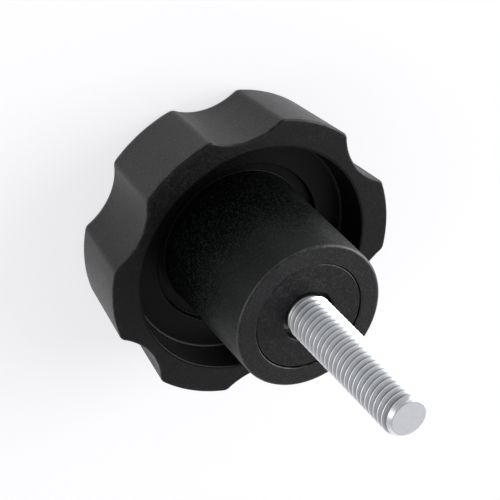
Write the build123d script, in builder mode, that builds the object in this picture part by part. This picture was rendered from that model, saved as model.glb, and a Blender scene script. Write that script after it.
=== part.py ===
"""Clover knob with a threaded stud, in millimetres.

The knob stands on its flat head with the stud pointing up: +Z is the axis of the stud, the origin is
the centre of the head's flat face, and one lobe of the grip is centred on +X.

Pieces:
    knob_body       one moulding: the lobed grip, its cored rim side and the long boss
    threaded_stud   hex-head screw with its head buried in the boss
    retaining_plug  disc in the mouth of the boss that keeps the screw in
"""

from build123d import *

import os
from math import cos, radians, sin, tan

# Grip: lobes concentric with the axis and hollow scoops between them, as measured at the rim; the
# whole outline narrows towards the head
LOBE_COUNT = 6
LOBE_RADIUS = 26.6
LOBE_SPAN = 31.2
SCOOP_DEPTH = 2.85
GRIP_HEIGHT = 16.1
HEAD_SCALE = 0.93
CORNER_RADIUS = 1.6
HEAD_EDGE_RADIUS = 1.2
RIM_EDGE_RADIUS = 0.4

# Core in the rim side: a tapered wall, a flat floor, and a shallow moat around the foot of the boss
CORE_RADIUS = 21.3
CORE_DEPTH = 5.6
CORE_DRAFT = 8.0
CORE_FOOT_RADIUS = 0.5
MOAT_WIDTH = 2.0
MOAT_DEPTH = 1.4

# Boss
BOSS_RADIUS = 13.4
BOSS_REACH = 19.2
BOSS_EDGE_RADIUS = 0.5

# Screw: a coarse metric hex-head screw, threaded to its tip; the thread runs out to the plain blank
# three pitches short of the head
THREAD_RADIUS = 4.0
BLANK_RADIUS = 3.6
BLANK_LENGTH = 3.75
SCREW_LENGTH = 35.0
TIP_CHAMFER = 0.9
HEAD_ACROSS_FLATS = 13.0
HEAD_HEIGHT = 5.3
HEAD_FACE_RATIO = 0.95
HEAD_CHAMFER_ANGLE = 30.0

# Plug: it lies on the screw's head and on the shoulder around the head's pocket
PLUG_RADIUS = 9.85
PLUG_THICKNESS = 3.8
PLUG_RECESS = 0.2
PLUG_EDGE_RADIUS = 0.3

# Clearances, each between one wall and the next
PLUG_CLEARANCE = 0.05
SCREW_CLEARANCE = 0.6
HEAD_CLEARANCE = 0.1

# Heights above the head's flat face
CORE_FLOOR_Z = GRIP_HEIGHT - CORE_DEPTH
MOAT_FLOOR_Z = CORE_FLOOR_Z - MOAT_DEPTH
BOSS_END_Z = GRIP_HEIGHT + BOSS_REACH
PLUG_FACE_Z = BOSS_END_Z - PLUG_RECESS
PLUG_SEAT_Z = PLUG_FACE_Z - PLUG_THICKNESS
POCKET_FLOOR_Z = PLUG_SEAT_Z - HEAD_HEIGHT

# Scoop: the arc through the corners of two neighbouring lobes that is SCOOP_DEPTH deep at its middle
HALF_GAP = radians(180 / LOBE_COUNT - LOBE_SPAN / 2)
HALF_CHORD = LOBE_RADIUS * sin(HALF_GAP)
SCOOP_SAG = SCOOP_DEPTH - LOBE_RADIUS * (1 - cos(HALF_GAP))
SCOOP_RADIUS = (HALF_CHORD**2 + SCOOP_SAG**2) / (2 * SCOOP_SAG)
SCOOP_CENTRE_RADIUS = LOBE_RADIUS - SCOOP_DEPTH + SCOOP_RADIUS

# Cored space, as radii from the axis
CORE_FOOT_X = CORE_RADIUS - CORE_DEPTH * tan(radians(CORE_DRAFT))
MOAT_RADIUS = BOSS_RADIUS + MOAT_WIDTH

os.makedirs("parts", exist_ok=True)


with BuildPart() as knob_body:
    # Grip, from the narrower outline of the head to the full one of the rim, with both edges rounded
    for height, scale in ((0, HEAD_SCALE), (GRIP_HEIGHT, 1)):
        with BuildSketch(Plane.XY.offset(height)) as outline:
            Circle(scale * LOBE_RADIUS)
            with PolarLocations(scale * SCOOP_CENTRE_RADIUS, LOBE_COUNT, start_angle=180 / LOBE_COUNT):
                Circle(scale * SCOOP_RADIUS, mode=Mode.SUBTRACT)
            fillet(outline.vertices(), radius=scale * CORNER_RADIUS)
    loft(ruled=True)
    fillet(knob_body.edges().group_by(Axis.Z)[0], radius=HEAD_EDGE_RADIUS)
    fillet(knob_body.edges().group_by(Axis.Z)[-1], radius=RIM_EDGE_RADIUS)

    # Core and moat, turned out of the rim side
    with BuildSketch(Plane.XZ):
        with BuildLine():
            Polyline(
                (0, GRIP_HEIGHT),
                (CORE_RADIUS, GRIP_HEIGHT),
                (CORE_FOOT_X, CORE_FLOOR_Z),
                (MOAT_RADIUS, CORE_FLOOR_Z),
                (MOAT_RADIUS, MOAT_FLOOR_Z),
                (0, MOAT_FLOOR_Z),
                close=True,
            )
        make_face()
    revolve(axis=Axis.Z, mode=Mode.SUBTRACT)
    core_foot = knob_body.edges().filter_by(GeomType.CIRCLE).filter_by_position(
        Axis.Z, CORE_FLOOR_Z, CORE_FLOOR_Z
    )
    fillet(core_foot.sort_by(SortBy.RADIUS)[-1], radius=CORE_FOOT_RADIUS)

    # Boss, from the floor of the moat
    with BuildSketch(Plane.XY.offset(MOAT_FLOOR_Z)):
        Circle(BOSS_RADIUS)
    extrude(amount=BOSS_END_Z - MOAT_FLOOR_Z)
    fillet(knob_body.edges().group_by(Axis.Z)[-1], radius=BOSS_EDGE_RADIUS)

    # Stepped pocket: a round seat for the plug over a hexagonal one for the screw's head
    with BuildSketch(Plane.XY.offset(PLUG_SEAT_Z)):
        Circle(PLUG_RADIUS + PLUG_CLEARANCE)
    extrude(amount=BOSS_END_Z - PLUG_SEAT_Z, mode=Mode.SUBTRACT)
    with BuildSketch(Plane.XY.offset(POCKET_FLOOR_Z)):
        RegularPolygon(HEAD_ACROSS_FLATS / 2 + HEAD_CLEARANCE, 6, major_radius=False)
    extrude(amount=HEAD_HEIGHT, mode=Mode.SUBTRACT)
knob_body.part.label = "knob_body"
export_step(knob_body.part, "parts/knob_body.step")


with BuildPart() as threaded_stud:
    # Hexagonal head, with the corners of its far side turned off to a shallow cone
    with BuildSketch(Plane.XY.offset(POCKET_FLOOR_Z)):
        RegularPolygon(HEAD_ACROSS_FLATS / 2, 6, major_radius=False)
    extrude(amount=HEAD_HEIGHT)
    head_face_radius = HEAD_FACE_RATIO * HEAD_ACROSS_FLATS / 2
    cone_rise = (HEAD_ACROSS_FLATS - head_face_radius) * tan(radians(HEAD_CHAMFER_ANGLE))
    with BuildSketch(Plane.XZ):
        with BuildLine():
            Polyline(
                (0, POCKET_FLOOR_Z),
                (head_face_radius, POCKET_FLOOR_Z),
                (HEAD_ACROSS_FLATS, POCKET_FLOOR_Z + cone_rise),
                (HEAD_ACROSS_FLATS, PLUG_SEAT_Z),
                (0, PLUG_SEAT_Z),
                close=True,
            )
        make_face()
    revolve(axis=Axis.Z, mode=Mode.INTERSECT)

    # Shank: the plain blank, then the thread's crests, chamfered to the thread's root at the tip
    with BuildSketch(Plane.XY.offset(PLUG_SEAT_Z)):
        Circle(BLANK_RADIUS)
    extrude(amount=BLANK_LENGTH)
    with BuildSketch(Plane.XY.offset(PLUG_SEAT_Z + BLANK_LENGTH)):
        Circle(THREAD_RADIUS)
    extrude(amount=SCREW_LENGTH - BLANK_LENGTH)
    chamfer(threaded_stud.edges().group_by(Axis.Z)[-1], length=TIP_CHAMFER)
threaded_stud.part.label = "threaded_stud"
export_step(threaded_stud.part, "parts/threaded_stud.step")


with BuildPart() as retaining_plug:
    with BuildSketch(Plane.XY.offset(PLUG_SEAT_Z)):
        Circle(PLUG_RADIUS)
        Circle(THREAD_RADIUS + SCREW_CLEARANCE, mode=Mode.SUBTRACT)
    extrude(amount=PLUG_THICKNESS)
    fillet(retaining_plug.edges().group_by(Axis.Z)[-1], radius=PLUG_EDGE_RADIUS)
retaining_plug.part.label = "retaining_plug"
export_step(retaining_plug.part, "parts/retaining_plug.step")
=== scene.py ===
"""Clover knob with a threaded stud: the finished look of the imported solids.

The knob stands on its head at the origin with the stud along +Z. Three pieces stand for the three solids:

    KnobBody       the lobed grip, its cored rim side and the long boss, one skin
    RetainingPlug  the disc in the mouth of the boss
    ThreadedStud   the hex-head screw with its rolled thread

Studio makes the floor, the soft lamps and the camera. Lengths are in millimetres until MM turns them into
Blender's metres, and angles that are fields are in degrees.
"""

import logging
from dataclasses import dataclass
from enum import Enum, IntEnum
from math import acos, atan2, cos, pi, radians, sin, tan
from typing import Any, Sequence

import bmesh
import bpy
import numpy as np
from mathutils import Matrix, Vector


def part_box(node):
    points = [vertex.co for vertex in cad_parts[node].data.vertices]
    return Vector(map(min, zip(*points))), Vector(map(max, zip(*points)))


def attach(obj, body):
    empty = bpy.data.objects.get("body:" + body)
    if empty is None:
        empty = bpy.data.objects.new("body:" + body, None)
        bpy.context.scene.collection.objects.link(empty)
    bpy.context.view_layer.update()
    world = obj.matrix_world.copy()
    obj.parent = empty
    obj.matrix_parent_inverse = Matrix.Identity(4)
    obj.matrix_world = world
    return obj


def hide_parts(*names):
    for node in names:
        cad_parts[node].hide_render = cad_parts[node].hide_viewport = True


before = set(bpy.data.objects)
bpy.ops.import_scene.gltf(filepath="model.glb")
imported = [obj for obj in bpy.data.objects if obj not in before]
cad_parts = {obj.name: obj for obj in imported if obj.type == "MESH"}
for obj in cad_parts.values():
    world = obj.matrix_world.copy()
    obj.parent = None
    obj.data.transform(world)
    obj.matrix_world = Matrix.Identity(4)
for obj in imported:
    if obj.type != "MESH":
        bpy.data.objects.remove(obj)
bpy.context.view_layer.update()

MM = 0.001
LOG = logging.getLogger("clover_knob")

# Points nearer than the first, in metres, become one; sizes nearer than the second, in millimetres, are equal
MERGE_DISTANCE = 1e-7
TOLERANCE = 1e-6

# How far outside an arc its guard point stands, as a share of the arc's radius
GUARD_SHARE = 0.35

Colour = tuple[float, float, float]
Band = tuple[float, float]
Corner = tuple[float, float, float]


class Node(Enum):
    """The CAD nodes that the pieces stand for."""

    BODY = "knob_body"
    PLUG = "retaining_plug"
    STUD = "threaded_stud"


class Slot(Enum):
    """The material slots of the record."""

    BODY = "body_plastic"
    PLUG = "plug_plastic"
    STEEL = "zinc_steel"


class Area(IntEnum):
    """The areas of the body's skin, in the order of its finishes."""

    GRIP = 0
    RIM = 1
    RECESS = 2
    BOSS_SIDE = 3
    BOSS_END = 4


# ---------------------------------------------------------------- shader graph


class Signal:
    """An output of a shader node. Arithmetic on number signals adds Math nodes."""

    def __init__(self, graph: "Graph", socket: bpy.types.NodeSocket) -> None:
        """Wraps a socket of a graph."""
        self.graph = graph
        self.socket = socket

    def out(self, name: str) -> "Signal":
        """Another output of the same node, by name."""
        return Signal(self.graph, self.socket.node.outputs[name])

    def _math(self, operation: str, *operands: "Signal | float") -> "Signal":
        """One Math node on the operands, in order."""
        return self.graph.node("Math", {"operation": operation}, dict(enumerate(operands)))

    def __add__(self, other: "Signal | float") -> "Signal":
        """self + other."""
        return self._math("ADD", self, other)

    __radd__ = __add__

    def __sub__(self, other: "Signal | float") -> "Signal":
        """self - other."""
        return self._math("SUBTRACT", self, other)

    def __rsub__(self, other: float) -> "Signal":
        """other - self."""
        return self._math("SUBTRACT", other, self)

    def __mul__(self, other: "Signal | float") -> "Signal":
        """self * other."""
        return self._math("MULTIPLY", self, other)

    __rmul__ = __mul__

    def __pow__(self, other: float) -> "Signal":
        """self to a power."""
        return self._math("POWER", self, other)

    def at_most(self, other: "Signal | float") -> "Signal":
        """The smaller of the two."""
        return self._math("MINIMUM", self, other)


@dataclass(frozen=True)
class Noise:
    """A noise pattern: its features' width, its finer octaves, how much each adds, and the scale of axes."""

    size: float
    detail: float = 3.0
    roughness: float = 0.6
    stretch: tuple[float, float, float] | None = None


class Graph:
    """A node tree being written, with one method that makes any node."""

    def __init__(self, tree: bpy.types.NodeTree) -> None:
        """Empties a tree and starts on it."""
        tree.nodes.clear()
        self.tree = tree

    def node(
        self,
        kind: str,
        settings: dict[str, Any] | None = None,
        sockets: dict[str | int, Any] | None = None,
        output: str | int = 0,
    ) -> Signal:
        """Makes a shader node.

        Args:
            kind: the node's type without its ShaderNode prefix.
            settings: properties of the node, set before its sockets.
            sockets: a value or a Signal for each input, by index, identifier or name.
            output: which output is wanted, by index, identifier or name.

        Returns:
            The wanted output, or the first input of a node that has no outputs.
        """
        made = self.tree.nodes.new("ShaderNode" + kind)
        for name, value in (settings or {}).items():
            setattr(made, name, value)
        for key, value in (sockets or {}).items():
            socket = self._find(made.inputs, key)
            if isinstance(value, Signal):
                self.tree.links.new(value.socket, socket)
            else:
                socket.default_value = value
        return Signal(self, self._find(made.outputs, output) if made.outputs else made.inputs[0])

    @staticmethod
    def _find(sockets: Any, key: str | int) -> bpy.types.NodeSocket:
        """The socket with that index, identifier or name."""
        if isinstance(key, int):
            return sockets[key]
        return next((s for s in sockets if s.identifier == key), None) or sockets[key]

    def blend(self, factor: Signal, low: Colour | Signal, high: Colour | Signal) -> Signal:
        """A colour between low and high, by factor."""
        return self.node(
            "Mix",
            {"data_type": "RGBA"},
            {"Factor_Float": factor, "A_Color": _rgba(low), "B_Color": _rgba(high)},
            "Result_Color",
        )

    def ramp(self, value: Signal, band: Band, low: float = 0.0, high: float = 1.0) -> Signal:
        """A smooth step from low to high while value crosses the band."""
        return self.node(
            "MapRange",
            {"interpolation_type": "SMOOTHSTEP"},
            {"Value": value, "From Min": band[0], "From Max": band[1], "To Min": low, "To Max": high},
        )

    def noise(self, place: Signal, pattern: Noise) -> Signal:
        """Noise about 0.5 at a place, in a pattern."""
        if pattern.stretch:
            scaled = {"Vector": place, "Scale": pattern.stretch}
            place = self.node("Mapping", {"vector_type": "POINT"}, scaled)
        return self.node(
            "TexNoise",
            {"noise_dimensions": "3D"},
            {
                "Vector": place,
                "Scale": 1.0 / (pattern.size * MM),
                "Detail": pattern.detail,
                "Roughness": pattern.roughness,
            },
        )

    def attribute(self, name: str) -> Signal:
        """A number stored on the piece's vertices."""
        return self.node("Attribute", {"attribute_type": "GEOMETRY", "attribute_name": name}, None, "Fac")

    def bump(self, height: Signal, depth: float, strength: float, after: Signal | None = None) -> Signal:
        """A normal tilted by a height of that depth, on top of another normal."""
        sockets: dict[str | int, Any] = {"Height": height, "Distance": depth * MM, "Strength": strength}
        if after is not None:
            sockets["Normal"] = after
        return self.node("Bump", None, sockets)


def _rgba(colour: Colour | Signal) -> Any:
    """A colour with its alpha, or a signal as it is."""
    return colour if isinstance(colour, Signal) else (*colour, 1.0)


# ---------------------------------------------------------------- finishes


class Finish:
    """A surface finish. Its subclasses write the shader, and it becomes a material."""

    name: str

    def shader(self, g: Graph, place: Signal) -> Signal:
        """The finish's shader, written into a graph, with Object coordinates as the place."""
        raise NotImplementedError

    def material(self) -> bpy.types.Material:
        """Makes the finish's material.

        Returns:
            The material, under the finish's name.
        """
        material = bpy.data.materials.new(self.name)
        material.use_nodes = True
        g = Graph(material.node_tree)
        place = g.node("TexCoord", None, None, "Object")
        g.node("OutputMaterial", None, {"Surface": self.shader(g, place)})
        return material


@dataclass(frozen=True)
class BlackPlastic(Finish):
    """Black moulded plastic, with the grain of its mould and its handling wear.

    The height is fine noise at the grain's size, the gloss clouds slowly across the piece, and edges
    marked by the attribute "edge" are rubbed paler in short, uneven stretches. Draw marks are noise
    stretched along the axis, as the mould leaves them when it opens.
    """

    name: str
    colour: Colour = (0.0015, 0.0015, 0.0018)
    worn_colour: Colour = (0.055, 0.054, 0.060)
    roughness: float = 0.42
    cloudiness: float = 0.12
    speckle: float = 0.40
    grain_size: float = 0.42
    grain_depth: float = 0.12
    grain_strength: float = 0.8
    draw_depth: float = 0.0
    draw_strength: float = 0.6
    specular: float = 0.5
    ior: float = 1.5
    clouds: Noise = Noise(7.0, 4.0)
    patches: Noise = Noise(1.4)
    rubbing: Noise = Noise(1.6)
    draw_marks: Noise = Noise(0.5, 2.0, 0.5, (1.0, 1.0, 0.04))
    speck_band: Band = (0.46, 0.66)
    rubbed_band: Band = (0.44, 0.60)
    speck_paleness: float = 0.8
    rubbed_paleness: float = 0.5
    rubbed_gloss: float = 0.08

    def shader(self, g: Graph, place: Signal) -> Signal:
        """The plastic's shader.

        Args:
            g: the graph to write it into.
            place: Object coordinates.

        Returns:
            The shader.
        """
        grain = g.noise(place, Noise(self.grain_size))
        clouds = g.noise(place, self.clouds)
        patches = g.noise(place, self.patches)
        specks = g.ramp(grain, self.speck_band)
        rubbed = g.attribute("edge") * g.ramp(g.noise(place, self.rubbing), self.rubbed_band)
        paleness = (specks * patches * self.speck_paleness + rubbed * self.rubbed_paleness).at_most(1.0)
        unevenness = (clouds - 0.5) * self.cloudiness + (patches - 0.5) * self.cloudiness
        unevenness = unevenness + (grain - 0.5) * self.speckle
        roughness = self.roughness + unevenness - rubbed * self.rubbed_gloss
        normal = g.bump(grain, self.grain_depth, self.grain_strength)
        if self.draw_depth:
            normal = g.bump(g.noise(place, self.draw_marks), self.draw_depth, self.draw_strength, normal)
        return g.node(
            "BsdfPrincipled",
            None,
            {
                "Base Color": g.blend(paleness, self.colour, self.worn_colour),
                "Roughness": roughness,
                "Specular IOR Level": self.specular,
                "IOR": self.ior,
                "Normal": normal,
            },
        )


@dataclass(frozen=True)
class ZincSteel(Finish):
    """Bright zinc-plated steel, duller in the thread's root with painted shade darkening it there, and matt
    on its cut end.

    The attribute "depth" runs from 0 at a crest to 1 at the root and sets the painted shade there, and "cut"
    is 1 on the flat end. Slow noise clouds the passivation between a bluish and a warmer grey, fine noise
    roughens the plating, and scuffs run around the axis.
    """

    name: str = "zinc_steel"
    bright: Colour = (0.92, 0.94, 0.98)
    warm: Colour = (0.86, 0.86, 0.865)
    root: Colour = (0.09, 0.09, 0.095)
    # Painted shade: the colour that the thread's root is darkened towards, standing in for the shade between
    # the flanks
    roughness: float = 0.25
    clouds: Noise = Noise(2.2)
    crystals: Noise = Noise(0.12)
    scuffs: Noise = Noise(0.8, stretch=(1.0, 1.0, 5.0))
    cloud_band: Band = (0.40, 0.66)
    scuff_band: Band = (0.58, 0.70)
    cloud_warmth: float = 0.7
    root_shade_strength: float = 0.92
    root_shade_power: float = 1.4
    scuff_darkness: float = 0.08
    cloud_dullness: float = 0.05
    crystal_dullness: float = 0.08
    root_dullness: float = 0.12
    scuff_dullness: float = 0.05
    cut_dullness: float = 0.15
    cut_mattness: float = 0.55
    crystal_depth: float = 0.006
    crystal_strength: float = 0.7

    def shader(self, g: Graph, place: Signal) -> Signal:
        """The steel's shader.

        Args:
            g: the graph to write it into.
            place: Object coordinates.

        Returns:
            The shader.
        """
        depth, cut = g.attribute("depth"), g.attribute("cut")
        clouds = g.ramp(g.noise(place, self.clouds), self.cloud_band)
        crystals = g.noise(place, self.crystals)
        scuffs = g.ramp(g.noise(place, self.scuffs), self.scuff_band)
        plating = g.blend(clouds * self.cloud_warmth, self.bright, self.warm)
        # Painted shade in the thread's root by depth, plus darker real scuffs
        root_shade_and_scuffs = depth**self.root_shade_power * self.root_shade_strength + scuffs * self.scuff_darkness
        roughness = self.roughness + clouds * self.cloud_dullness + crystals * self.crystal_dullness
        roughness = roughness + depth * self.root_dullness + scuffs * self.scuff_dullness
        roughness = roughness + cut * self.cut_dullness
        return g.node(
            "BsdfPrincipled",
            None,
            {
                "Base Color": g.blend(root_shade_and_scuffs.at_most(1.0), plating, self.root),
                "Roughness": roughness,
                "Metallic": 1.0 - cut * self.cut_mattness,
                "Normal": g.bump(crystals, self.crystal_depth, self.crystal_strength),
            },
        )


@dataclass(frozen=True)
class WhiteSweep(Finish):
    """White floor paper. It takes the lamps' shadows and glows enough to read as white, also in gloss."""

    name: str = "white_sweep"
    colour: Colour = (0.40, 0.40, 0.405)
    glow_colour: Colour = (0.98, 0.98, 1.0)
    glow: float = 0.72
    fibres: Noise = Noise(1.5)
    fibre_depth: float = 0.01
    fibre_strength: float = 0.3

    def shader(self, g: Graph, place: Signal) -> Signal:
        """The paper's shader: diffuse, plus light for the rays that show it.

        Args:
            g: the graph to write it into.
            place: Object coordinates.

        Returns:
            The shader.
        """
        path = g.node("LightPath", None, None, "Is Camera Ray")
        seen = (path + path.out("Is Glossy Ray") + path.out("Is Transmission Ray")).at_most(1.0)
        normal = g.bump(g.noise(place, self.fibres), self.fibre_depth, self.fibre_strength)
        paper = g.node("BsdfDiffuse", None, {"Color": _rgba(self.colour), "Normal": normal})
        light = g.node("Emission", None, {"Color": _rgba(self.glow_colour), "Strength": seen * self.glow})
        return g.node("AddShader", None, {0: paper, 1: light})


# ---------------------------------------------------------------- surfaces


def heading(angle: np.ndarray | float) -> np.ndarray:
    """Unit vectors in the plane: (cosine, sine) of each angle."""
    return np.stack([np.cos(angle), np.sin(angle)], axis=-1)


def hexagon(angle: np.ndarray) -> np.ndarray:
    """A regular hexagon's radius in apothems, 1 / cos(angle from the nearest flat's middle)."""
    return 1 / np.cos(np.mod(angle, pi / 3) - pi / 6)


def rounded_path(corners: Sequence[Corner], steps: int) -> np.ndarray:
    """A polyline in the plane whose inner corners are rounded.

    At each corner the arc's tangent points lie radius * tan(turn / 2) before and after it, its centre
    lies one radius to the inside of the turn, and its points are centre + radius * (cos, sin) of an
    angle that runs evenly through the turn. One more point stands just outside each tangent point, where
    there is room, so that the flats beside the arc shade flat.

    Args:
        corners: the polyline's points as (x, y, radius). A radius of 0 leaves a corner sharp, and the
            radius of an end isn't read.
        steps: intervals along each arc.

    Returns:
        The path's points, one row each.
    """
    knots, radii = np.asarray(corners, float)[:, :2], [corner[2] for corner in corners]
    runs = [knots[:1]]
    for before, corner, after, radius in zip(knots, knots[1:], knots[2:], radii[1:]):
        if not radius:
            runs.append(corner[None])
            continue
        into = (corner - before) / np.linalg.norm(corner - before)
        away = (after - corner) / np.linalg.norm(after - corner)
        turn = atan2(into[0] * away[1] - into[1] * away[0], float(into @ away))
        reach = radius * tan(abs(turn) / 2)
        guard = GUARD_SHARE * radius
        start = corner - into * reach
        centre = start + np.array([-into[1], into[0]]) * np.sign(turn) * radius
        angles = atan2(*(start - centre)[::-1]) + turn * np.linspace(0, 1, steps + 1)
        if np.linalg.norm(corner - before) - reach > 2 * guard:
            runs.append((start - into * guard)[None])
        runs.append(centre + radius * heading(angles))
        if np.linalg.norm(after - corner) - reach > 2 * guard:
            runs.append((corner + away * (reach + guard))[None])
    runs.append(knots[-1:])
    return np.concatenate(runs)


def placed(radius: np.ndarray, out: np.ndarray, height: np.ndarray) -> np.ndarray:
    """Points at radius * out in the plane and at a height, rows x columns x 3."""
    flat = radius[..., None] * out
    return np.concatenate([flat, np.broadcast_to(height[..., None], (*flat.shape[:2], 1))], axis=-1)


def turned(profile: np.ndarray, columns: int) -> np.ndarray:
    """A profile of points (r, z) carried around the axis, rows x columns x 3."""
    out = heading(np.linspace(0, 2 * pi, columns, endpoint=False))
    return placed(profile[:, :1], out, profile[:, 1:])


def skin(
    name: str,
    points: np.ndarray,
    values: dict[str, np.ndarray],
    finishes: Sequence[Finish],
    row_finish: np.ndarray | None = None,
    closed_rows: bool = False,
    closed_columns: bool = True,
) -> bpy.types.Object:
    """Makes a closed mesh from a grid of points that goes once around.

    Face (row, column) joins its point to the next column and the next row, counted anticlockwise seen
    from outside. The last column meets the first, or stands where the first does some rows on, and a
    pole is a row of equal points: merging equal points closes both.

    Args:
        name: the piece's name.
        points: rows x columns x 3.
        values: numbers for the vertices, rows x columns each, by attribute name.
        finishes: the finishes of the mesh's material slots.
        row_finish: for each row of faces, its slot.
        closed_rows: whether the last row also meets the first.
        closed_columns: whether faces join the last column to the first.

    Returns:
        The piece, linked into the scene, smooth shaded.
    """
    rows, columns = points.shape[:2]
    index = np.arange(rows * columns).reshape(rows, columns)
    below = index if closed_rows else index[:-1]
    above = np.roll(index, -1, axis=0) if closed_rows else index[1:]
    faces = np.stack([below, np.roll(below, -1, 1), np.roll(above, -1, 1), above], axis=-1)
    if not closed_columns:
        faces = faces[:, :-1]
    mesh = bpy.data.meshes.new(name)
    mesh.from_pydata((points * MM).reshape(-1, 3), [], faces.reshape(-1, 4))
    for finish in finishes:
        mesh.materials.append(finish.material())
    if row_finish is not None:
        mesh.polygons.foreach_set("material_index", np.repeat(row_finish.astype(np.int32), columns))
    for label, numbers in values.items():
        layer = mesh.attributes.new(label, "FLOAT", "POINT")
        layer.data.foreach_set("value", np.ascontiguousarray(numbers, np.float32).ravel())
    bm = bmesh.new()
    bm.from_mesh(mesh)
    bmesh.ops.remove_doubles(bm, verts=bm.verts, dist=MERGE_DISTANCE)
    bm.to_mesh(mesh)
    bm.free()
    mesh.polygons.foreach_set("use_smooth", np.ones(len(mesh.polygons), bool))
    mesh.update()
    piece = bpy.data.objects.new(name, mesh)
    bpy.context.scene.collection.objects.link(piece)
    return piece


def settle(piece: bpy.types.Object, node: Node, slot: Slot) -> bpy.types.Object:
    """Makes a piece stand for a CAD node and ride with the knob.

    Args:
        piece: the piece.
        node: the node that it replaces.
        slot: its material slot in the record; not used.

    Returns:
        The piece.
    """
    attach(piece, "root")
    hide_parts(node.value)
    return piece


# ---------------------------------------------------------------- the knob


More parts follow.
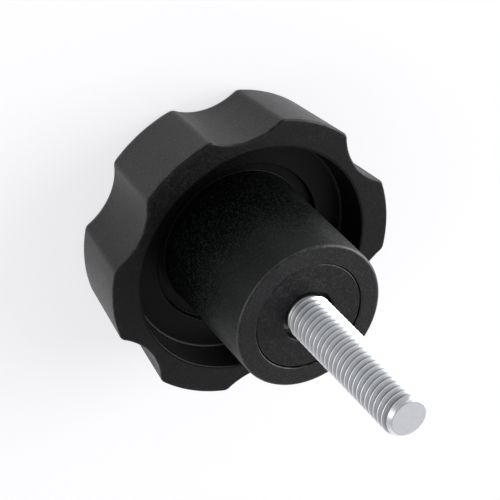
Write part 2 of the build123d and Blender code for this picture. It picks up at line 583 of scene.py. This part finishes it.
@dataclass
class KnobBody:
    """The moulding: a lobed grip with a cored rim side and a long boss, one skin from pole to pole.

    The lobes' radius and the boss's height are read from the CAD box when the piece is made. A margin is
    how far past its rounded edge a face's outermost row lies.
    """

    lobes: int = 6
    lobe_span: float = 31.2
    scoop_depth: float = 2.85
    corner_radius: float = 1.6
    grip_height: float = 16.1
    head_scale: float = 0.93
    head_edge: float = 1.2
    head_margin: float = 0.5
    rim_edge: float = 0.4
    rim_margin: float = 0.15
    core_radius: float = 21.3
    core_depth: float = 5.6
    core_draft: float = 8.0
    core_foot: float = 0.5
    core_lip: float = 0.22
    moat_width: float = 2.0
    moat_depth: float = 1.4
    moat_edge: float = 0.2
    boss_radius: float = 13.4
    boss_edge: float = 0.5
    bore_radius: float = 9.9
    bore_lip: float = 0.2
    seat_depth: float = 4.0
    seat_width: float = 1.0
    pocket_apothem: float = 6.6
    pocket_depth: float = 5.3
    lobe_steps: int = 24
    corner_steps: int = 9
    scoop_steps: int = 30
    head_rows: int = 13
    rim_rows: int = 6
    shoulder_rows: int = 3
    finishes: tuple[Finish, ...] = (
        BlackPlastic(
            "grip_grained_plastic", worn_colour=(0.085, 0.083, 0.092), grain_size=0.36, specular=0.37
        ),
        BlackPlastic(
            "rim_smooth_plastic",
            worn_colour=(0.020, 0.020, 0.020),
            speckle=0.16,
            grain_depth=0.030,
            specular=0.38,
        ),
        # Painted shade: the recess takes a darker copy of the same plastic, with weaker gloss and darker
        # specks, standing in for the shade deep in the core
        BlackPlastic(
            "recess_painted_shade_plastic",
            colour=(0.0022, 0.0022, 0.0024),
            worn_colour=(0.012, 0.012, 0.012),
            roughness=0.36,
            speckle=0.12,
            grain_depth=0.025,
            specular=0.20,
        ),
        # Painted reflection and shade: the greenish tint of these colours stands in for a reflection on the
        # boss's side, and its weaker gloss makes it a darker copy of the same plastic; the draw marks are
        # bumps
        BlackPlastic(
            "boss_side_painted_reflection_plastic",
            colour=(0.0012, 0.0018, 0.0015),
            worn_colour=(0.036, 0.044, 0.039),
            roughness=0.46,
            cloudiness=0.24,
            grain_depth=0.08,
            draw_depth=0.020,
            specular=0.22,
        ),
        # Painted light: the boss's end is a glossier copy of the same plastic, so that it reads brighter than
        # the rim, which faces the same way
        BlackPlastic("boss_end_painted_light_plastic", roughness=0.40, speckle=0.20, grain_depth=0.035, specular=0.62),
    )

    def outline(self) -> tuple[np.ndarray, np.ndarray]:
        """The grip's outline at the rim and its outward normals.

        Each sixth is four arcs: the lobe, about the axis; a corner, whose centre is corner_radius inside
        the lobe circle and corner_radius outside the scoop circle; the scoop, about a centre outside the
        grip; and the corner mirrored. The scoop's circle passes through the sharp corners of two lobes
        and is scoop_depth deep at its middle.

        Returns:
            Points and normals, one row each, anticlockwise from the start of the lobe on +X.
        """
        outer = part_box(Node.BODY.value)[1].x / MM
        half = pi / self.lobes
        gap = half - radians(self.lobe_span / 2)
        chord = outer * sin(gap)
        sag = self.scoop_depth - outer * (1 - cos(gap))
        scoop = (chord**2 + sag**2) / (2 * sag)
        scoop_arm = outer - self.scoop_depth + scoop
        arm = outer - self.corner_radius
        reach = scoop + self.corner_radius
        end = half - acos((arm**2 + scoop_arm**2 - reach**2) / (2 * arm * scoop_arm))
        corner = arm * heading(end)
        mirrored = arm * heading(2 * half - end)
        middle = scoop_arm * heading(half)
        turn = atan2(*(middle - corner)[::-1])

        lobe = np.linspace(-end, end, self.lobe_steps, endpoint=False)
        first = np.linspace(end, turn, self.corner_steps, endpoint=False)
        hollow = half + pi + np.linspace(turn - half, half - turn, self.scoop_steps, endpoint=False)
        last = np.linspace(2 * half - turn, 2 * half - end, self.corner_steps, endpoint=False)
        points = np.concatenate(
            [
                outer * heading(lobe),
                corner + self.corner_radius * heading(first),
                middle + scoop * heading(hollow),
                mirrored + self.corner_radius * heading(last),
            ]
        )
        normals = np.concatenate([heading(lobe), heading(first), -heading(hollow), heading(last)])
        turns = 2 * half * np.arange(self.lobes)
        spin = np.stack([heading(turns), heading(turns + pi / 2)], axis=1)
        points, normals = (np.einsum("nj,kji->kni", each, spin).reshape(-1, 2) for each in (points, normals))
        return points, normals

    def turned_side(self, top: float) -> np.ndarray:
        """The turned part of the skin: from the core's lip to the moat, up the boss and down its bore.

        Args:
            top: the height of the boss's end.

        Returns:
            The path's points (r, z), one row each.
        """
        floor = self.grip_height - self.core_depth
        foot = self.core_radius - self.core_depth * tan(radians(self.core_draft))
        moat = floor - self.moat_depth
        moat_radius = self.boss_radius + self.moat_width
        seat = top - self.seat_depth
        return rounded_path(
            [
                (self.core_radius + 2 * self.core_lip, self.grip_height, 0),
                (self.core_radius, self.grip_height, self.core_lip),
                (foot, floor, self.core_foot),
                (moat_radius, floor, self.moat_edge),
                (moat_radius, moat, self.moat_edge),
                (self.boss_radius, moat, self.moat_edge),
                (self.boss_radius, top, self.boss_edge),
                (self.bore_radius, top, self.bore_lip),
                (self.bore_radius, seat, 0),
                (self.bore_radius - self.seat_width, seat, 0),
            ],
            steps=5,
        )

    def rows(self) -> tuple[np.ndarray, np.ndarray, np.ndarray]:
        """The skin's rows, from the middle of the head to the middle of the pocket's floor.

        A row's points are share * (outline - inset * normal) + (radius + apothem * hexagon) * heading, at
        height z. Up the grip the share grows evenly from head_scale to 1, which is its taper.

        Returns:
            The rows as (share, inset, radius, apothem, z); an edge value for each; and the area of the
            face row that starts at each.
        """
        blocks: list[np.ndarray] = []

        def add(
            area: Any,
            z: Any,
            share: Any = 0,
            inset: Any = 0,
            radius: Any = 0,
            apothem: Any = 0,
            edge: Any = 0,
        ) -> None:
            """Adds rows. Each argument is one number, or one for each row."""
            columns = (share, inset, radius, apothem, z, edge, area)
            blocks.append(np.stack(np.broadcast_arrays(*map(np.atleast_1d, columns)), axis=1))

        head_inset = self.head_edge + self.head_margin
        rim_inset = self.rim_edge + self.rim_margin
        shares = np.linspace(0, self.head_scale, self.head_rows, endpoint=False)
        add(Area.GRIP, 0, share=shares, inset=head_inset)
        inset, z = rounded_path(
            [
                (head_inset, 0, 0),
                (0, 0, self.head_edge),
                (0, self.grip_height, self.rim_edge),
                (rim_inset, self.grip_height, 0),
            ],
            steps=8,
        ).T
        add(
            np.where(z > self.grip_height - self.rim_edge / 2, Area.RIM, Area.GRIP),
            z,
            share=self.head_scale + (1 - self.head_scale) * z / self.grip_height,
            inset=inset,
            edge=(inset > TOLERANCE) & (inset < self.head_edge),
        )

        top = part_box(Node.BODY.value)[1].z / MM
        radius, z = self.turned_side(top).T
        across = np.linspace(0, 1, self.rim_rows + 2)[1:-1]
        add(Area.RIM, self.grip_height, share=1 - across, inset=rim_inset, radius=across * radius[0])
        moat = self.grip_height - self.core_depth - self.moat_depth
        on_end = z > top - self.boss_edge
        on_boss = (radius < self.boss_radius + TOLERANCE) & (z > moat + self.moat_edge)
        area = np.select([on_end, on_boss], [Area.BOSS_END, Area.BOSS_SIDE], Area.RECESS)
        add(area, z, radius=radius, edge=on_end & (z < top - TOLERANCE))

        inwards = np.linspace(0, 1, self.shoulder_rows + 1)[1:]
        add(Area.RECESS, z[-1], radius=(1 - inwards) * radius[-1], apothem=inwards * self.pocket_apothem)
        add(Area.RECESS, z[-1] - self.pocket_depth, apothem=self.pocket_apothem * np.array([1.0, 0.5, 0.0]))
        table = np.concatenate(blocks)
        return table[:, :5], table[:, 5], table[:, 6]

    def build(self) -> bpy.types.Object:
        """Makes the skin and dresses it.

        Returns:
            The piece.
        """
        points, normals = self.outline()
        angle = np.arctan2(points[:, 1], points[:, 0])
        table, edges, areas = self.rows()
        share, inset, radius, apothem, z = (column[:, None, None] for column in table.T)
        round_part = (radius + apothem * hexagon(angle)[None, :, None]) * heading(angle)
        flat = share * (points - inset * normals) + round_part
        grid = np.concatenate([flat, np.broadcast_to(z, (*flat.shape[:2], 1))], axis=-1)
        edge = np.broadcast_to(edges[:, None], flat.shape[:2])
        piece = skin("knob_body_skin", grid, {"edge": edge}, self.finishes, areas[:-1])
        return settle(piece, Node.BODY, Slot.BODY)


@dataclass
class RetainingPlug:
    """The disc in the mouth of the boss, turned from one closed profile."""

    outer_radius: float = 9.78
    hole_radius: float = 4.6
    outer_edge: float = 0.30
    hole_edge: float = 0.30
    under_edge: float = 0.12
    columns: int = 240
    finish: Finish = BlackPlastic(
        "plug_black_plastic", roughness=0.40, speckle=0.20, grain_depth=0.035, specular=0.50
    )

    def build(self) -> bpy.types.Object:
        """Makes the disc and dresses it.

        Returns:
            The piece.
        """
        low, high = (corner.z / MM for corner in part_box(Node.PLUG.value))
        middle = (self.outer_radius + self.hole_radius) / 2
        profile = rounded_path(
            [
                (middle, low, 0),
                (self.outer_radius, low, self.under_edge),
                (self.outer_radius, high, self.outer_edge),
                (self.hole_radius, high, self.hole_edge),
                (self.hole_radius, low, self.under_edge),
                (middle, low, 0),
            ],
            steps=6,
        )[:-1]
        grid = turned(profile, self.columns)
        z = grid[..., 2]
        edge = (z > high - self.outer_edge) & (z < high - TOLERANCE)
        piece = skin("retaining_plug_disc", grid, {"edge": edge}, [self.finish], closed_rows=True)
        return settle(piece, Node.PLUG, Slot.PLUG)


@dataclass
class ThreadedStud:
    """The screw: a hex head, a plain blank, and a rolled right-hand thread that ends in a chamfer.

    The thread's rows climb one pitch in each turn, so its crests lie along them. Half of its 60 degree
    profile is half_profile, as (distance along, depth) from the middle of a rounded crest, down a straight
    flank, to the middle of a rounded root.
    """

    pitch: float = 1.25
    crest_radius: float = 4.0
    half_profile: tuple[tuple[float, float], ...] = (
        (0.0, 0.0),
        (0.05, 0.005),
        (0.09, 0.035),
        (0.14, 0.115),
        (0.30, 0.39),
        (0.46, 0.67),
        (0.52, 0.745),
        (0.57, 0.765),
        (0.625, 0.77),
    )
    blank_radius: float = 3.6
    blank_length: float = 2.9
    run_out: float = 1.0
    end_radius: float = 3.1
    end_chamfer: float = 0.8
    end_edge: float = 0.2
    end_rounding: float = 0.18
    apothem: float = 6.5
    head_height: float = 5.3
    head_face: float = 6.175
    head_slope: float = 30.0
    neck_fillet: float = 0.3
    neck_margin: float = 1.5
    columns: int = 97
    finish: Finish = ZincSteel()

    def head(self, low: float, bearing: float, angle: np.ndarray) -> np.ndarray:
        """The hex head's rows: its far face, the cone that turns off its corners, and its flats.

        Args:
            low: the height of its far face.
            bearing: the height of its bearing face.
            angle: the columns' angles.

        Returns:
            Points (r, z), rows x columns x 2.
        """
        face = self.rings([(0, low), (self.head_face / 2, low), (self.head_face, low)])
        flats = self.apothem * hexagon(angle)
        cone = low + (flats - self.head_face) * tan(radians(self.head_slope))
        sides = [np.stack([flats, z * np.ones_like(flats)], axis=-1) for z in (cone, bearing)]
        return np.concatenate([face, sides])

    def thread(self, start: float, high: float, angle: np.ndarray) -> np.ndarray:
        """The threaded rows, with two turns more at each end, which are held at that end's height.

        A row stands at z = start + pitch * (turn + share of a pitch + angle / full circle). Its radius is
        the profile's, faded smoothly into the blank at the start and cut by the tip's 45 degree cone.

        Args:
            start: the height at which the thread starts.
            high: the height of the tip.
            angle: the columns' angles.

        Returns:
            Points (r, z), rows x columns x 2.
        """
        along, below = np.array(self.half_profile).T
        along = np.concatenate([along, self.pitch - along[-2:0:-1]])
        below = np.concatenate([below, below[-2:0:-1]])
        turns = np.arange(-2, int((high - start) / self.pitch) + 2)
        climb = (turns[:, None] + along / self.pitch).ravel()[:, None] + angle / (2 * pi)
        end = high - self.end_edge
        z = np.clip(start + self.pitch * climb, start, end)
        profile = np.tile(self.crest_radius - below, len(turns))[:, None]
        fade = np.clip((z - start) / self.run_out, 0, 1)
        radius = self.blank_radius + (profile - self.blank_radius) * fade * fade * (3 - 2 * fade)
        radius = np.minimum(radius, self.end_radius + (high - z))
        return np.stack([np.where(z >= end, self.end_radius + self.end_edge, radius), z], axis=-1)

    def rings(self, path: Any) -> np.ndarray:
        """Points (r, z) as rows x columns x 2, the same in every column."""
        return np.repeat(np.asarray(path, float)[:, None], self.columns, axis=1)

    def build(self) -> bpy.types.Object:
        """Makes the screw from its head's far face to the tip, as one skin, and dresses it.

        Returns:
            The piece.
        """
        low, high = (corner.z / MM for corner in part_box(Node.STUD.value))
        angle = np.linspace(0, 2 * pi, self.columns)
        bearing = low + self.head_height
        start = bearing + self.blank_length
        neck = rounded_path(
            [
                (self.blank_radius + self.neck_margin, bearing, 0),
                (self.blank_radius, bearing, self.neck_fillet),
                (self.blank_radius, start, 0),
            ],
            steps=4,
        )
        tip = rounded_path(
            [
                (self.end_radius + self.end_edge, high - self.end_edge, 0),
                (self.end_radius, high, self.end_rounding),
                (self.end_radius / 2, high, 0),
            ],
            steps=4,
        )
        radius, z = np.moveaxis(
            np.concatenate(
                [
                    self.head(low, bearing, angle),
                    self.rings(neck),
                    self.thread(start, high, angle),
                    self.rings([*tip[1:], (0, high)]),
                ]
            ),
            -1,
            0,
        )
        # The depth also sets the steel's painted shade in the thread's root
        deepest = self.half_profile[-1][1]
        depth = np.clip((self.crest_radius - radius) / deepest, 0, 1)
        depth = depth * ((z > start) & (z < high - self.end_chamfer))
        values = {"depth": depth, "cut": z > high - TOLERANCE}
        grid = placed(radius, heading(angle), z)
        piece = skin("threaded_stud_screw", grid, values, [self.finish], closed_columns=False)
        return settle(piece, Node.STUD, Slot.STEEL)


# ---------------------------------------------------------------- the studio


def direction(azimuth: float, elevation: float) -> Vector:
    """The unit vector at an azimuth from +X and an elevation above the floor, in degrees."""
    a, e = radians(azimuth), radians(elevation)
    return Vector((cos(a) * cos(e), sin(a) * cos(e), sin(e)))


@dataclass(frozen=True)
class Softbox:
    """A square area lamp that faces the knob, with its power in watts."""

    name: str
    azimuth: float
    elevation: float
    distance: float
    side: float
    power: float

    def build(self, target: Vector) -> bpy.types.Object:
        """Makes the lamp and turns it to a target.

        Args:
            target: the point that it faces, in metres.

        Returns:
            The lamp.
        """
        data = bpy.data.lights.new(self.name, "AREA")
        data.shape = "SQUARE"
        data.size = self.side * MM
        data.energy = self.power
        lamp = bpy.data.objects.new(self.name, data)
        bpy.context.scene.collection.objects.link(lamp)
        away = direction(self.azimuth, self.elevation)
        lamp.location = target + away * self.distance * MM
        lamp.rotation_euler = (-away).to_track_quat("-Z", "Y").to_euler()
        return lamp


@dataclass
class Studio:
    """A white sweep around the knob, soft lamps, an even grey room and the camera.

    The room's level falls from room_low to room_high while the upward part of the direction crosses
    room_band. The camera turns about its own line of sight by camera_roll.
    """

    flat_radius: float = 500.0
    floor_radius: float = 1600.0
    floor_drop: float = 0.05
    bend_radius: float = 400.0
    wall_height: float = 550.0
    floor_columns: int = 96
    room_low: float = 0.45
    room_high: float = 0.22
    room_band: Band = (0.62, 0.97)
    room_colour: Colour = (1.0, 1.0, 1.02)
    aim: tuple[float, float, float] = (0.609, -0.312, 13.689)
    camera_distance: float = 386.04
    camera_azimuth: float = 62.889
    camera_elevation: float = 47.384
    camera_roll: float = 135.539
    lens: float = 162.56
    sensor: float = 36.0
    clip: Band = (10.0, 20000.0)
    lamp_aim: float = 20.0
    softboxes: tuple[Softbox, ...] = (
        Softbox("side_softbox", -58.0, 24.0, 1000.0, 900.0, 10.0),
        Softbox("front_softbox", 110.0, 30.0, 1200.0, 700.0, 2.2),
    )
    paper: Finish = WhiteSweep()

    def floor(self) -> None:
        """Makes the sweep: a disc that bends up into a low wall, its profile carried around the axis."""
        profile = rounded_path(
            [
                (0, -self.floor_drop, 0),
                (self.flat_radius, -self.floor_drop, 0),
                (self.floor_radius, -self.floor_drop, self.bend_radius),
                (self.floor_radius, self.wall_height, 0),
            ],
            steps=12,
        )
        piece = skin("studio_floor", turned(profile, self.floor_columns), {}, [self.paper])
        piece.data.flip_normals()

    def room(self) -> None:
        """Lights the room evenly, a little darker overhead, by the direction's height."""
        world = bpy.data.worlds.new("studio_room")
        world.use_nodes = True
        bpy.context.scene.world = world
        g = Graph(world.node_tree)
        up = g.node("SeparateXYZ", None, {"Vector": g.node("TexCoord", None, None, "Generated")}, "Z")
        level = g.ramp(up, self.room_band, self.room_low, self.room_high)
        light = g.node("Background", None, {"Color": _rgba(self.room_colour), "Strength": level})
        g.node("OutputWorld", None, {"Surface": light})

    def camera(self) -> None:
        """Makes the camera: it looks at the aim point, then turns about its own line of sight."""
        data = bpy.data.cameras.new("studio_camera")
        data.lens = self.lens
        data.sensor_width = self.sensor
        data.clip_start, data.clip_end = (length * MM for length in self.clip)
        camera = bpy.data.objects.new("studio_camera", data)
        bpy.context.scene.collection.objects.link(camera)
        away = direction(self.camera_azimuth, self.camera_elevation)
        right = Vector((0, 0, 1)).cross(away).normalized()
        upward = away.cross(right)
        roll = radians(self.camera_roll)
        across = right * cos(roll) + upward * sin(roll)
        above = upward * cos(roll) - right * sin(roll)
        place = Matrix((across, above, away)).transposed().to_4x4()
        place.translation = (Vector(self.aim) + away * self.camera_distance) * MM
        camera.matrix_world = place
        bpy.context.scene.camera = camera

    def build(self) -> None:
        """Sets the studio up around the knob."""
        self.floor()
        self.room()
        self.camera()
        target = Vector((0, 0, self.lamp_aim * MM))
        for softbox in self.softboxes:
            LOG.info("lamp %s", softbox.build(target).name)


def main() -> None:
    """Builds the knob and its studio in order."""
    logging.basicConfig(level=logging.INFO, format="%(message)s")
    bpy.context.scene.view_settings.view_transform = "Standard"
    for assembly in (KnobBody(), RetainingPlug(), ThreadedStud()):
        piece = assembly.build()
        LOG.info("piece %s: %d faces", piece.name, len(piece.data.polygons))
    Studio().build()


if __name__ == "__main__":
    main()
